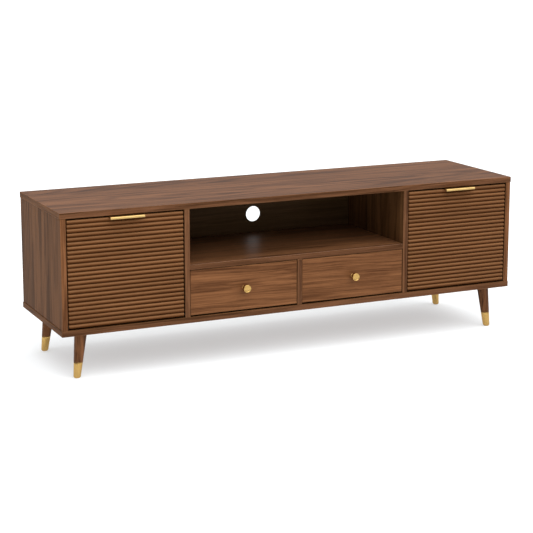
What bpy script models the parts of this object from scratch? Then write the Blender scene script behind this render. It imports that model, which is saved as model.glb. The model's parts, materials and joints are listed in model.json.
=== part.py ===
"""TV stand: veneered carcass on splayed legs, two drop-down ribbed doors, two drawers.

Metres, +Z up, +X to the right, the front faces -Y. The origin is on the floor, under the
middle of the whole stand, knobs included. Left and right are as seen from the front.
"""
import math

import bmesh
import bpy
from mathutils import Matrix, Vector

# Driving dimensions of the carcass
WIDTH = 1.520
DEPTH = 0.400
HEIGHT = 0.500
LEG_HEIGHT = 0.136
SLAB = 0.018                # top and bottom panels
BOARD = 0.016               # sides, dividers and shelf
OVERHANG = 0.002            # top and bottom past the sides
DIVIDER_X = 0.3702          # middle of each divider
SHELF_TOP = 0.3135
BACK_SHEET = 0.003
BACK_RECESS = 0.025
CABLE_HOLE_R = 0.025
CABLE_HOLE_X = 0.012
CABLE_HOLE_Z = 0.374
EDGE = 0.0008               # softened board edges
GAP = 0.0003                # left between touching pieces

# Doors
DOOR_SIDE_GAP = 0.004
DOOR_FOOT_GAP = 0.004
DOOR_TOP_GAP = 0.0045
DOOR_THICK = 0.018
RIBS = 25
RIB_WIDTH = 0.0110
RIB_DEPTH = 0.0060
PIVOT_INSET = 0.006         # pivot behind the door's face and above its lower edge
PIN_R = 0.0025
PIN_BORE_R = 0.0026
PIN_IN_DOOR = 0.012
PIN_IN_BOARD = 0.010
PULL_LENGTH = 0.105
PULL_SHEET = 0.0018
PULL_REACH = 0.0175         # in front of the ribs
PULL_LIP = 0.0070
PULL_SEAT = 0.017           # flange lying on the door's top edge

# Damped struts that lower the doors
STRUT_REACH = 0.130         # door pivot to each end of the strut
STRUT_SPREAD = math.radians(70.0)
STRUT_STANDOFF = 0.012      # strut pin in front of the door's back
STRUT_FROM_SIDE = 0.015
BARREL_R = 0.006
BARREL_LENGTH = 0.134
ROD_R = 0.0025
ROD_TAIL = 0.016            # lower end of the rod, measured from the wall stud
EYE_R = 0.0065
EYE_WIDTH = 0.008
EYE_PIN_R = 0.0030
EYE_BORE_R = 0.0031

# Drawers
FRONT_RECESS = 0.002
FRONT_THICK = 0.018
FRONT_SIDE_GAP = 0.002
FRONT_TOP_GAP = 0.002
FRONT_FOOT_GAP = 0.005
MID_BOARD = 0.015           # upright between the drawers
SLIDE_SPACE = 0.0129        # each side of the drawer box
BOX_LENGTH = 0.345
BOX_HEIGHT = 0.110
BOX_BOARD = 0.012
BOX_LIFT = 0.012            # box above the bottom panel
BOX_BOTTOM = 0.005
KNOB_LENGTH = 0.023
KNOB_R = 0.0120
KNOB_NECK_R = 0.0058
SLIDE_LENGTH = 0.340
SLIDE_SHEET = 0.0012
OUTER_HALF = 0.018          # half height of the fixed slide member
INNER_HALF = 0.011          # half height of the moving slide member

# Legs
FOOT_X = 0.706
FOOT_Y = 0.1605
SPLAY_X = 0.016
SPLAY_Y = 0.005
LEG_TOP_R = 0.0188
FERRULE_TOP_R = 0.01365
FERRULE_TIP_R = 0.0107
FERRULE_HEIGHT = 0.048
FERRULE_WALL = 0.0012
TIP_ROUND = 0.0060

# Places worked out from them
KNOB_PROUD = KNOB_LENGTH - FRONT_RECESS
FRONT = -(DEPTH - KNOB_PROUD) / 2       # puts the box of the whole stand about Y = 0
REAR = FRONT + DEPTH
MIDDLE_Y = (FRONT + REAR) / 2
FLOOR_Z = LEG_HEIGHT + SLAB
CEILING_Z = HEIGHT - SLAB
SHELF_FOOT = SHELF_TOP - BOARD
SIDE_X = WIDTH / 2 - OVERHANG - BOARD
BAY_X = DIVIDER_X + BOARD / 2
DRAWER_BAY_X = DIVIDER_X - BOARD / 2
BACK_Y = REAR - BACK_RECESS - BACK_SHEET
DOOR_FOOT = FLOOR_Z + DOOR_FOOT_GAP
DOOR_HEAD = CEILING_Z - DOOR_TOP_GAP
DOOR_BACK = FRONT + DOOR_THICK
DOOR_X = (SIDE_X + BAY_X) / 2
PIVOT = Vector((0.0, FRONT + PIVOT_INSET, DOOR_FOOT + PIVOT_INSET))
TURN_STEPS = 24


def clear_scene():
    for obj in list(bpy.data.objects):
        bpy.data.objects.remove(obj, do_unlink=True)


def new_collection(name):
    collection = bpy.data.collections.new(name)
    bpy.context.scene.collection.children.link(collection)
    return collection


def new_material(name, colour, roughness, metallic=0.0):
    material = bpy.data.materials.new(name)
    material.use_nodes = True
    shader = material.node_tree.nodes["Principled BSDF"]
    shader.inputs["Base Color"].default_value = (*colour, 1.0)
    shader.inputs["Roughness"].default_value = roughness
    shader.inputs["Metallic"].default_value = metallic
    return material


def add_object(name, mesh, material, collection=None):
    mesh.materials.clear()
    if material:
        mesh.materials.append(material)
    obj = bpy.data.objects.new(name, mesh)
    (collection or PARTS).objects.link(obj)
    return obj


def box_mesh(name, low, high):
    """A box about its own middle, and the place of that middle."""
    low, high = Vector(low), Vector(high)
    mesh = bpy.data.meshes.new(name)
    bm = bmesh.new()
    bmesh.ops.create_cube(bm, size=1.0)
    bmesh.ops.scale(bm, vec=high - low, verts=bm.verts)
    bm.to_mesh(mesh)
    bm.free()
    return mesh, (low + high) / 2


def box(name, low, high, material, edge=0.0, collection=None):
    mesh, middle = box_mesh(name, low, high)
    obj = add_object(name, mesh, material, collection)
    obj.location = middle
    if edge:
        bevel = obj.modifiers.new("softened edges", "BEVEL")
        bevel.width = edge
        bevel.segments = 1
    return obj


def plain_mesh(source, name):
    """The evaluated shape of an object as a welded mesh; the object is removed."""
    bpy.context.view_layer.update()
    graph = bpy.context.evaluated_depsgraph_get()
    mesh = bpy.data.meshes.new_from_object(source.evaluated_get(graph))
    mesh.name = name
    bm = bmesh.new()
    bm.from_mesh(mesh)
    bmesh.ops.remove_doubles(bm, verts=bm.verts, dist=1e-6)
    bm.to_mesh(mesh)
    bm.free()
    bpy.data.objects.remove(source, do_unlink=True)
    return mesh


def turned(name, profile, material, steps=TURN_STEPS, collection=None):
    """A solid turned about its own Z from (radius, height) points, top to bottom."""
    mesh = bpy.data.meshes.new(name)
    bm = bmesh.new()
    verts = [bm.verts.new((radius, 0.0, height)) for radius, height in profile]
    for first, second in zip(verts, verts[1:]):
        bm.edges.new((first, second))
    bm.to_mesh(mesh)
    bm.free()
    blank = add_object(name + "_profile", mesh, None, collection)
    screw = blank.modifiers.new("turning", "SCREW")
    screw.steps = steps
    screw.render_steps = steps
    screw.use_merge_vertices = True
    screw.merge_threshold = 0.00001
    solid = plain_mesh(blank, name)
    solid.shade_smooth()
    solid.set_sharp_from_angle(angle=math.radians(35))
    return add_object(name, solid, material, collection)


def extruded(name, outline, length, material, turn, collection=None):
    """A flat closed outline given a length about its own plane, then turned."""
    curve = bpy.data.curves.new(name, "CURVE")
    curve.dimensions = "2D"
    curve.fill_mode = "BOTH"
    curve.extrude = length / 2
    spline = curve.splines.new("POLY")
    spline.points.add(len(outline) - 1)
    for point, (across, up) in zip(spline.points, outline):
        point.co = (across, up, 0.0, 1.0)
    spline.use_cyclic_u = True
    blank = bpy.data.objects.new(name + "_outline", curve)
    PARTS.objects.link(blank)
    obj = add_object(name, plain_mesh(blank, name), material, collection)
    obj.rotation_euler = turn
    return obj


ALONG_X = (math.radians(90), 0.0, math.radians(90))     # outline's (x, y) becomes (Y, Z)
ALONG_Y = (math.radians(90), 0.0, 0.0)                  # outline's (x, y) becomes (X, Z)


def cutter(obj):
    obj.hide_render = True
    obj.display_type = "WIRE"
    return obj


def rod_cutter(name, centre, radius, length, axis="X"):
    """A hidden round bar that makes a bore."""
    half = length / 2
    obj = turned(name, [(0, half), (radius, half), (radius, -half), (0, -half)], None,
                 collection=CUTTERS)
    obj.location = centre
    turns = {"X": (0.0, math.radians(90), 0.0), "Y": (math.radians(90), 0.0, 0.0)}
    obj.rotation_euler = turns[axis]
    return cutter(obj)


def combine(obj, other, operation):
    """Cuts or joins with a live exact Boolean; the other shape becomes a hidden guide."""
    if other.name not in CUTTERS.objects:
        for collection in other.users_collection:
            collection.objects.unlink(other)
        CUTTERS.objects.link(other)
    boolean = obj.modifiers.new(operation.lower(), "BOOLEAN")
    boolean.operation = operation
    boolean.object = cutter(other)
    boolean.solver = "EXACT"


def pivot_empty(name, place):
    empty = bpy.data.objects.new(name, None)
    empty.empty_display_size = 0.02
    empty.location = place
    PARTS.objects.link(empty)
    return empty


def hang(obj, pivot):
    """Parents a piece, and the hidden shapes that cut or join it, to its joint's pivot."""
    for modifier in obj.modifiers:
        if modifier.type == "BOOLEAN":
            modifier.object.parent = pivot
            modifier.object.location -= pivot.location
    obj.parent = pivot
    obj.location -= pivot.location


def build_carcass():
    half = WIDTH / 2
    box("top_panel", (-half, FRONT, CEILING_Z), (half, REAR, HEIGHT), WALNUT, EDGE)
    box("bottom_panel", (-half, FRONT, LEG_HEIGHT), (half, REAR, FLOOR_Z), WALNUT, EDGE)
    low, high = FLOOR_Z + GAP, CEILING_Z - GAP
    for side, sign in SIDES:
        inner, outer = sign * SIDE_X, sign * (SIDE_X + BOARD)
        panel = box(f"side_panel_{side}", (min(inner, outer), FRONT, low),
                    (max(inner, outer), REAR, high), WALNUT, EDGE)
        divider = box(f"divider_{side}", (sign * DIVIDER_X - BOARD / 2, FRONT, low),
                      (sign * DIVIDER_X + BOARD / 2, BACK_Y - GAP, high), WALNUT, EDGE)
        for board, face, facing in ((panel, inner, -sign), (divider, sign * BAY_X, sign)):
            deep = PIN_IN_BOARD + 2 * GAP
            centre = (face - facing * (deep - 0.002) / 2, PIVOT.y, PIVOT.z)
            bore = rod_cutter(board.name + "_pin_bore", centre, PIN_BORE_R, deep + 0.002)
            combine(board, bore, "DIFFERENCE")
    reach = DRAWER_BAY_X - GAP
    box("media_shelf", (-reach, FRONT, SHELF_FOOT), (reach, BACK_Y - GAP, SHELF_TOP),
        WALNUT, EDGE)
    box("drawer_divider", (-MID_BOARD / 2, FRONT, low),
        (MID_BOARD / 2, BACK_Y - GAP, SHELF_FOOT - GAP), WALNUT, EDGE)
    reach = SIDE_X - GAP
    back = box("back_panel", (-reach, BACK_Y, low), (reach, BACK_Y + BACK_SHEET, high), SHEET)
    centre = (CABLE_HOLE_X, BACK_Y + BACK_SHEET / 2, CABLE_HOLE_Z)
    hole = rod_cutter("cable_hole", centre, CABLE_HOLE_R, 4 * BACK_SHEET, axis="Y")
    combine(back, hole, "DIFFERENCE")


def door_outline():
    """Side view of a door, (Y, Z): flat back, half-round ribs down the front."""
    pitch = (DOOR_HEAD - DOOR_FOOT) / RIBS
    floor_y = FRONT + RIB_DEPTH
    points = [(DOOR_BACK, DOOR_FOOT), (floor_y, DOOR_FOOT)]
    arc_steps = 6
    for rib in range(RIBS):
        middle = DOOR_FOOT + (rib + 0.5) * pitch
        for step in range(arc_steps + 1):
            angle = math.pi * step / arc_steps
            points.append((floor_y - RIB_DEPTH * math.sin(angle),
                           middle - RIB_WIDTH / 2 * math.cos(angle)))
    points += [(floor_y, DOOR_HEAD), (DOOR_BACK, DOOR_HEAD)]
    return list(reversed(points))


def pull_outline():
    """Side view of a tab pull, (Y, Z): flange on the door's top edge, lip turned down."""
    top = DOOR_HEAD + GAP + PULL_SHEET
    front = FRONT - PULL_REACH
    return [(FRONT + PULL_SEAT, top - PULL_SHEET), (FRONT + PULL_SEAT, top), (front, top),
            (front, top - PULL_LIP), (front + PULL_SHEET, top - PULL_LIP),
            (front + PULL_SHEET, top - PULL_SHEET)]


def pivot_pin(name, face, facing):
    """Flanged pin standing out of a board: shank in the board, pin in the door."""
    flange_r, flange = 0.0050, 0.0020
    end = GAP + flange + PIN_IN_DOOR
    profile = [(0, end), (PIN_R - 0.0005, end), (PIN_R, end - 0.0005), (PIN_R, GAP + flange),
               (flange_r, GAP + flange), (flange_r, GAP), (PIN_R, GAP),
               (PIN_R, -PIN_IN_BOARD), (0, -PIN_IN_BOARD)]
    pin = turned(name, profile, STEEL)
    pin.location = (face, PIVOT.y, PIVOT.z)
    pin.rotation_euler = (0.0, facing * math.radians(90), 0.0)


def build_door(side, sign):
    pivot = pivot_empty(f"door_pivot_{side}", (sign * DOOR_X, PIVOT.y, PIVOT.z))
    width = SIDE_X - BAY_X - 2 * DOOR_SIDE_GAP
    door = extruded(f"door_{side}", door_outline(), width, WALNUT, ALONG_X)
    door.location = (sign * DOOR_X, 0.0, 0.0)
    for end, outward in (("inner", -sign), ("outer", sign)):
        edge = sign * DOOR_X + outward * width / 2
        deep = PIN_IN_DOOR + 0.001
        centre = (edge - outward * (deep - 0.002) / 2, PIVOT.y, PIVOT.z)
        bore = rod_cutter(f"door_{side}_{end}_bore", centre, PIN_BORE_R, deep + 0.002)
        combine(door, bore, "DIFFERENCE")
        face = sign * BAY_X if end == "inner" else sign * SIDE_X
        pivot_pin(f"door_pin_{end}_{side}", face, -outward)
    hang(door, pivot)

    pull = extruded(f"door_pull_{side}", pull_outline(), PULL_LENGTH, BRASS, ALONG_X)
    pull.location = (sign * DOOR_X, 0.0, 0.0)
    hang(pull, pivot)

    centre = sign * DOOR_X
    strike_y = DOOR_BACK + GAP
    strike = box(f"catch_strike_{side}", (centre - 0.014, strike_y, DOOR_HEAD - 0.013),
                 (centre + 0.014, strike_y + 0.001, DOOR_HEAD - 0.002), STEEL)
    hang(strike, pivot)
    box(f"magnetic_catch_{side}", (centre - 0.022, strike_y + 0.0015, CEILING_Z - 0.014),
        (centre + 0.022, strike_y + 0.0215, CEILING_Z - GAP), PLASTIC, 0.001)


def strut_ends(sign):
    """Wall and door ends of a closed strut: both lie STRUT_REACH from the door's pivot."""
    out = DOOR_BACK + STRUT_STANDOFF - PIVOT.y
    door_angle = math.acos(out / STRUT_REACH)
    wall_angle = door_angle - STRUT_SPREAD
    ends = []
    for angle in (wall_angle, door_angle):
        ends.append(Vector((sign * (SIDE_X - STRUT_FROM_SIDE),
                            PIVOT.y + STRUT_REACH * math.cos(angle),
                            PIVOT.z + STRUT_REACH * math.sin(angle))))
    return ends


def strut_piece(name, profile, place, lean, material):
    """A turned bar pointing from one strut end to the other, joined to an eye there."""
    bar = turned(name, profile, material)
    bar.location = place
    bar.rotation_euler = (lean, 0.0, 0.0)
    half = EYE_WIDTH / 2
    eye = turned(name + "_eye", [(0, half), (EYE_R, half), (EYE_R, -half), (0, -half)], None,
                 collection=CUTTERS)
    eye.location = place
    eye.rotation_euler = (0.0, math.radians(90), 0.0)
    combine(bar, eye, "UNION")
    combine(bar, rod_cutter(name + "_bore", place, EYE_BORE_R, 2 * EYE_WIDTH), "DIFFERENCE")
    return bar


def build_strut(side, sign):
    wall_end, door_end = strut_ends(sign)
    along = door_end - wall_end
    lean = math.atan2(-along.y, along.z)
    root = EYE_R - 0.003
    floor_u = 0.011
    bore_r = ROD_R + GAP
    barrel = [(bore_r, BARREL_LENGTH), (BARREL_R, BARREL_LENGTH), (BARREL_R, root + 0.004),
              (BARREL_R - 0.002, root + 0.001), (BARREL_R - 0.002, root), (0, root)]
    barrel = [(0, floor_u), (bore_r, floor_u)] + barrel
    cylinder = strut_piece(f"strut_cylinder_{side}", barrel, wall_end, lean, STEEL)
    hang(cylinder, pivot_empty(f"strut_wall_pivot_{side}", wall_end))

    tail = along.length - ROD_TAIL
    rod = [(0, tail), (ROD_R, tail), (ROD_R, root), (0, root)]
    rod = strut_piece(f"strut_rod_{side}", rod, door_end, lean + math.pi, STEEL)
    hang(rod, pivot_empty(f"strut_door_pivot_{side}", door_end))

    # Stud on the side panel, from its base disc to the head past the eye
    half, slack = EYE_WIDTH / 2, 0.0005
    reach = STRUT_FROM_SIDE
    stud = [(0, reach + half + slack + 0.0016), (0.0045, reach + half + slack + 0.0016),
            (0.0045, reach + half + slack), (EYE_PIN_R, reach + half + slack),
            (EYE_PIN_R, reach - half - slack), (0.0050, reach - half - slack),
            (0.0050, 0.0025), (0.0090, 0.0025), (0.0090, GAP), (0, GAP)]
    stud = turned(f"strut_wall_stud_{side}", stud, STEEL)
    stud.location = (sign * SIDE_X, wall_end.y, wall_end.z)
    stud.rotation_euler = (0.0, -sign * math.radians(90), 0.0)

    # Bracket on the door's back: a foot plate, an ear, and a pin through the rod's eye
    ear_x = door_end.x - sign * (half + slack)
    ear_far = ear_x - sign * 0.002
    foot_y = DOOR_BACK + GAP
    bracket = box(f"strut_door_bracket_{side}",
                  (min(ear_far, ear_x), foot_y, door_end.z - 0.008),
                  (max(ear_far, ear_x), door_end.y + 0.006, door_end.z + 0.008), STEEL)
    foot_far = ear_far - sign * 0.016
    foot = box(bracket.name + "_foot",
               (min(foot_far, ear_x), foot_y, door_end.z - 0.008),
               (max(foot_far, ear_x), foot_y + 0.002, door_end.z + 0.008), None,
               collection=CUTTERS)
    combine(bracket, foot, "UNION")
    tip = half + slack
    pin = [(0, tip + 0.0014), (0.0045, tip + 0.0014), (0.0045, tip), (EYE_PIN_R, tip),
           (EYE_PIN_R, -tip - 0.001), (0, -tip - 0.001)]
    pin = turned(bracket.name + "_pin", pin, None, collection=CUTTERS)
    pin.location = door_end
    pin.rotation_euler = (0.0, sign * math.radians(90), 0.0)
    combine(bracket, pin, "UNION")
    hang(bracket, pivot_empty(f"strut_bracket_pivot_{side}",
                              (door_end.x, PIVOT.y, PIVOT.z)))


def knob_profile():
    """Turned knob, top to bottom down its outer side: dished face, head, neck, base."""
    head = 0.0125
    top = KNOB_LENGTH
    rim = KNOB_R - 0.0016
    return [(0, top - 0.0010), (rim - 0.0014, top - 0.0010), (rim, top),
            (KNOB_R - 0.0006, top - 0.0002), (KNOB_R, top - 0.0010),
            (KNOB_R, top - head + 0.0010), (KNOB_R - 0.0010, top - head),
            (KNOB_NECK_R + 0.0008, top - head), (KNOB_NECK_R, top - head - 0.0012),
            (KNOB_NECK_R, 0.0020), (KNOB_NECK_R + 0.0006, GAP), (0, GAP)]


def slide_outlines(face, inward):
    """End views, (X, Z), of the fixed and moving slide members beside a bay's face."""
    def channel(root, width, half, lip):
        sheet = SLIDE_SHEET
        points = [(root, half), (root + width, half)]
        if lip:
            points += [(root + width, half - lip), (root + width - sheet, half - lip),
                       (root + width - sheet, half - sheet)]
        else:
            points += [(root + width, half - sheet)]
        points += [(root + sheet, half - sheet)]
        return points + [(across, -up) for across, up in reversed(points)]

    outer = channel(GAP, 0.0098, OUTER_HALF, 0.0045)
    inner = channel(0.0, 0.0094, INNER_HALF, 0.0)
    seat = SLIDE_SPACE - GAP
    outer = [(face + inward * across, up) for across, up in outer]
    inner = [(face + inward * (seat - across), up) for across, up in inner]
    return outer, inner


def build_drawer(side, sign):
    low_x, high_x = MID_BOARD / 2, DRAWER_BAY_X
    bay = sorted((sign * low_x, sign * high_x))
    pivot = pivot_empty(f"drawer_runner_{side}", (sum(bay) / 2, FRONT, FLOOR_Z))
    face_y = FRONT + FRONT_RECESS
    front = box(f"drawer_front_{side}",
                (bay[0] + FRONT_SIDE_GAP, face_y, FLOOR_Z + FRONT_FOOT_GAP),
                (bay[1] - FRONT_SIDE_GAP, face_y + FRONT_THICK, SHELF_FOOT - FRONT_TOP_GAP),
                WALNUT, EDGE)
    box_y = face_y + FRONT_THICK + GAP
    low_z = FLOOR_Z + BOX_LIFT
    high_z = low_z + BOX_HEIGHT
    left, right = bay[0] + SLIDE_SPACE, bay[1] - SLIDE_SPACE
    pieces = [front]
    sides = (("inner", right, left) if sign < 0 else ("inner", left, right))
    for place, wall in (("inner", sides[1]), ("outer", sides[2])):
        low = wall if wall == left else wall - BOX_BOARD
        pieces.append(box(f"drawer_side_{place}_{side}", (low, box_y, low_z),
                          (low + BOX_BOARD, box_y + BOX_LENGTH, high_z), BIRCH, EDGE))
    inside = (left + BOX_BOARD + GAP, right - BOX_BOARD - GAP)
    back_y = box_y + BOX_LENGTH - BOX_BOARD
    pieces.append(box(f"drawer_back_{side}", (inside[0], back_y, low_z),
                      (inside[1], back_y + BOX_BOARD, high_z), BIRCH, EDGE))
    pieces.append(box(f"drawer_bottom_{side}", (inside[0], box_y, low_z + 0.004),
                      (inside[1], back_y - GAP, low_z + 0.004 + BOX_BOTTOM), SHEET))
    knob = turned(f"drawer_knob_{side}", knob_profile(), BRASS)
    front_middle = (FLOOR_Z + FRONT_FOOT_GAP + SHELF_FOOT - FRONT_TOP_GAP) / 2
    knob.location = (sum(bay) / 2, face_y, front_middle)
    knob.rotation_euler = ALONG_Y
    pieces.append(knob)

    slide_z = low_z + BOX_HEIGHT / 2
    slide_y = box_y + 0.002 + SLIDE_LENGTH / 2
    for wall, inward in ((bay[0], 1), (bay[1], -1)):
        place = "inner" if abs(wall) < DRAWER_BAY_X / 2 else "outer"
        outer, inner = slide_outlines(wall, inward)
        for kind, outline in (("fixed", outer), ("moving", inner)):
            slide = extruded(f"slide_{kind}_{place}_{side}", outline, SLIDE_LENGTH, STEEL,
                             ALONG_Y)
            slide.location = (0.0, slide_y, slide_z)
            if kind == "moving":
                pieces.append(slide)
    for piece in pieces:
        hang(piece, pivot)


def ferrule_radius(height):
    share = height / FERRULE_HEIGHT
    return FERRULE_TIP_R + (FERRULE_TOP_R - FERRULE_TIP_R) * share


def leg_profile():
    """Turned leg, top to bottom: long taper, then a spigot that fits in the ferrule."""
    inside = FERRULE_WALL + GAP
    shoulder = FERRULE_HEIGHT + GAP
    foot = 0.012
    return [(0, LEG_HEIGHT - GAP), (LEG_TOP_R, LEG_HEIGHT - GAP), (FERRULE_TOP_R, shoulder),
            (ferrule_radius(shoulder) - inside, shoulder),
            (ferrule_radius(foot) - inside, foot), (0, foot)]


def ferrule_profile():
    """Turned brass cup: inside floor, inside wall, rim, outer taper, rounded tip, flat foot."""
    floor_z = 0.009
    points = [(0, floor_z), (ferrule_radius(floor_z) - FERRULE_WALL, floor_z),
              (FERRULE_TOP_R - FERRULE_WALL, FERRULE_HEIGHT), (FERRULE_TOP_R, FERRULE_HEIGHT)]
    steps = 4
    round_x = ferrule_radius(TIP_ROUND) - TIP_ROUND
    for step in range(steps + 1):
        angle = math.radians(90) * step / steps
        points.append((round_x + TIP_ROUND * math.cos(angle),
                       TIP_ROUND - TIP_ROUND * math.sin(angle)))
    return points + [(0, 0)]


def lean_mesh(obj, sign_x, sign_y):
    """Slants an upright turned piece so that its foot splays outwards and ends stay level."""
    slant = Matrix.Identity(4)
    slant[0][2] = -sign_x * SPLAY_X / LEG_HEIGHT
    slant[1][2] = -sign_y * SPLAY_Y / LEG_HEIGHT
    obj.data.transform(slant)
    obj.location = (sign_x * FOOT_X, MIDDLE_Y + sign_y * FOOT_Y, 0.0)


def build_legs():
    for side, sign_x in SIDES:
        for end, sign_y in (("front", -1), ("rear", 1)):
            leg = turned(f"leg_{end}_{side}", leg_profile(), WALNUT)
            lean_mesh(leg, sign_x, sign_y)
            ferrule = turned(f"ferrule_{end}_{side}", ferrule_profile(), BRASS)
            lean_mesh(ferrule, sign_x, sign_y)


SIDES = (("left", -1), ("right", 1))

clear_scene()
PARTS = new_collection("tv_stand")
CUTTERS = new_collection("cutters")
WALNUT = new_material("walnut veneer", (0.19, 0.085, 0.038), 0.45)
BRASS = new_material("satin brass", (0.72, 0.50, 0.22), 0.32, 1.0)
STEEL = new_material("zinc steel", (0.55, 0.56, 0.58), 0.35, 1.0)
BIRCH = new_material("birch ply", (0.62, 0.46, 0.30), 0.60)
SHEET = new_material("dark hardboard", (0.09, 0.05, 0.03), 0.65)
PLASTIC = new_material("dark plastic", (0.03, 0.03, 0.03), 0.50)

build_carcass()
build_legs()
for side_name, side_sign in SIDES:
    build_door(side_name, side_sign)
    build_strut(side_name, side_sign)
    build_drawer(side_name, side_sign)
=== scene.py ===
"""Looks of the TV stand: walnut boards, ribbed doors, brass fittings, drawer boxes and struts."""
import json
import math

import bmesh
import bpy
from mathutils import Matrix, Vector


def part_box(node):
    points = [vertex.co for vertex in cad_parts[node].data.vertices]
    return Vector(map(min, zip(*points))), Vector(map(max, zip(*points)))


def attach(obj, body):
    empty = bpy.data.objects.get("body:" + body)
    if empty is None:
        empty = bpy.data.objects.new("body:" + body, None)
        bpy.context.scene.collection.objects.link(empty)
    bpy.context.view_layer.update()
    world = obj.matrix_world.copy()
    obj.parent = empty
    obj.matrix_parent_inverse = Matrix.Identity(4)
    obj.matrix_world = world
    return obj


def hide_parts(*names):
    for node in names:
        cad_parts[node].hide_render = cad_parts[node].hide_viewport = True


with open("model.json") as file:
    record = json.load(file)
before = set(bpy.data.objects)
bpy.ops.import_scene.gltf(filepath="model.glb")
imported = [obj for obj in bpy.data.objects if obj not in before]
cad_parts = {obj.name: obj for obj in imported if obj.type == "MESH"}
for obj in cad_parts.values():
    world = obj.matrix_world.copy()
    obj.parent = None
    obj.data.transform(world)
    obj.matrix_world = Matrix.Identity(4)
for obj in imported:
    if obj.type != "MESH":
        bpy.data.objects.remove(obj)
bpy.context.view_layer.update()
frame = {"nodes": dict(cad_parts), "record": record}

RECORD = frame["record"]
BODY_OF = {node: body for body, nodes in RECORD["behaviour"]["bodies"].items() for node in nodes}
SIDES = (("left", -1), ("right", 1))

# the front faces -Y
AHEAD, BEHIND = (0, -1, 0), (0, 1, 0)
LEFT, RIGHT = (-1, 0, 0), (1, 0, 0)
UP, DOWN = (0, 0, 1), (0, 0, -1)


# ---------------------------------------------------------------- pieces and their bodies

def link_object(name, data):
    obj = bpy.data.objects.new(name, data)
    bpy.context.scene.collection.objects.link(obj)
    return obj


def mesh_object(name, bm, *materials):
    mesh = bpy.data.meshes.new(name)
    bm.to_mesh(mesh)
    bm.free()
    obj = link_object(name, mesh)
    for material in materials:
        mesh.materials.append(material)
    return obj


def stand_for(obj, node):
    """The piece rides on the node's body and is shown in its place."""
    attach(obj, BODY_OF[node])
    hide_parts(node)
    return obj


def go_with(obj, node):
    """An extra piece that rides with a node, and hides nothing."""
    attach(obj, BODY_OF[node])
    return obj


def plain_copy(obj):
    """Applies the object's modifiers and leaves a plain mesh."""
    bpy.context.view_layer.update()
    graph = bpy.context.evaluated_depsgraph_get()
    mesh = bpy.data.meshes.new_from_object(obj.evaluated_get(graph))
    obj.modifiers.clear()
    obj.data = mesh
    return obj


def round_edges(obj, width, segments=3, angle=35):
    bevel = obj.modifiers.new("rounded edges", "BEVEL")
    bevel.width = width
    bevel.segments = segments
    bevel.limit_method = "ANGLE"
    bevel.angle_limit = math.radians(angle)
    bevel.harden_normals = True
    obj.data.shade_smooth()
    return obj


# ---------------------------------------------------------------- shader building

def add_node(tree, kind, **settings):
    node = tree.nodes.new(kind)
    for key, value in settings.items():
        setattr(node, key, value)
    return node


def new_group(name, inputs, outputs):
    """A shader group with its in and out nodes; sockets are (name, type, default)."""
    tree = bpy.data.node_groups.new(name, "ShaderNodeTree")
    for label, kind, default in inputs:
        socket = tree.interface.new_socket(name=label, in_out="INPUT", socket_type=kind)
        if default is not None:
            socket.default_value = default
    for label, kind in outputs:
        tree.interface.new_socket(name=label, in_out="OUTPUT", socket_type=kind)
    return tree, add_node(tree, "NodeGroupInput"), add_node(tree, "NodeGroupOutput")


def math_node(tree, operation, first, second=None, clamp=False):
    node = add_node(tree, "ShaderNodeMath", operation=operation, use_clamp=clamp)
    for socket, value in zip(node.inputs, (first, second)):
        if value is None:
            continue
        if isinstance(value, (int, float)):
            socket.default_value = value
        else:
            tree.links.new(value, socket)
    return node.outputs[0]


def scaled(tree, vector, scale):
    node = add_node(tree, "ShaderNodeVectorMath", operation="MULTIPLY")
    tree.links.new(vector, node.inputs[0])
    node.inputs[1].default_value = scale
    return node.outputs[0]


def noise(tree, vector, detail=3.0, roughness=0.55, scale=1.0):
    node = add_node(tree, "ShaderNodeTexNoise", noise_dimensions="3D")
    tree.links.new(vector, node.inputs["Vector"])
    node.inputs["Scale"].default_value = scale
    node.inputs["Detail"].default_value = detail
    node.inputs["Roughness"].default_value = roughness
    return node


def ramp(tree, value, low, high):
    node = add_node(tree, "ShaderNodeMapRange", interpolation_type="SMOOTHSTEP")
    tree.links.new(value, node.inputs["Value"])
    node.inputs["From Min"].default_value = low
    node.inputs["From Max"].default_value = high
    return node.outputs["Result"]


# a Mix node has a socket of each type under the same name: these are its colour ones
MIX_FACTOR, MIX_FIRST, MIX_SECOND, MIX_RESULT = 0, 6, 7, 2


def colour_mix(tree, share, first, second, blend="MIX"):
    node = add_node(tree, "ShaderNodeMix", data_type="RGBA", blend_type=blend)
    factor, one, two = (node.inputs[index] for index in (MIX_FACTOR, MIX_FIRST, MIX_SECOND))
    for socket, value in ((factor, share), (one, first), (two, second)):
        if isinstance(value, (int, float)):
            socket.default_value = value
        elif isinstance(value, tuple):
            socket.default_value = (*value, 1.0)
        else:
            tree.links.new(value, socket)
    return node.outputs[MIX_RESULT]


# How finely each part of the wood's figure repeats per metre, along and across the grain
DRIFT_SCALE = (2.4, 7.0, 7.0)
BROAD_SCALE = (0.8, 19.0, 19.0)
NARROW_SCALE = (2.0, 80.0, 80.0)
SWELL_SCALE = (0.45, 6.0, 6.0)
STREAK_SCALE = (4.0, 260.0, 260.0)
PORE_SCALE = (34.0, 1150.0, 1150.0)
DRIFT_REACH = (0.0, 0.03, 0.03)
RING_TURNS = 95.0
PORE_DARK = (0.01, 0.004, 0.002)
WOOD_ROUGHNESS = 0.27


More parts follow.
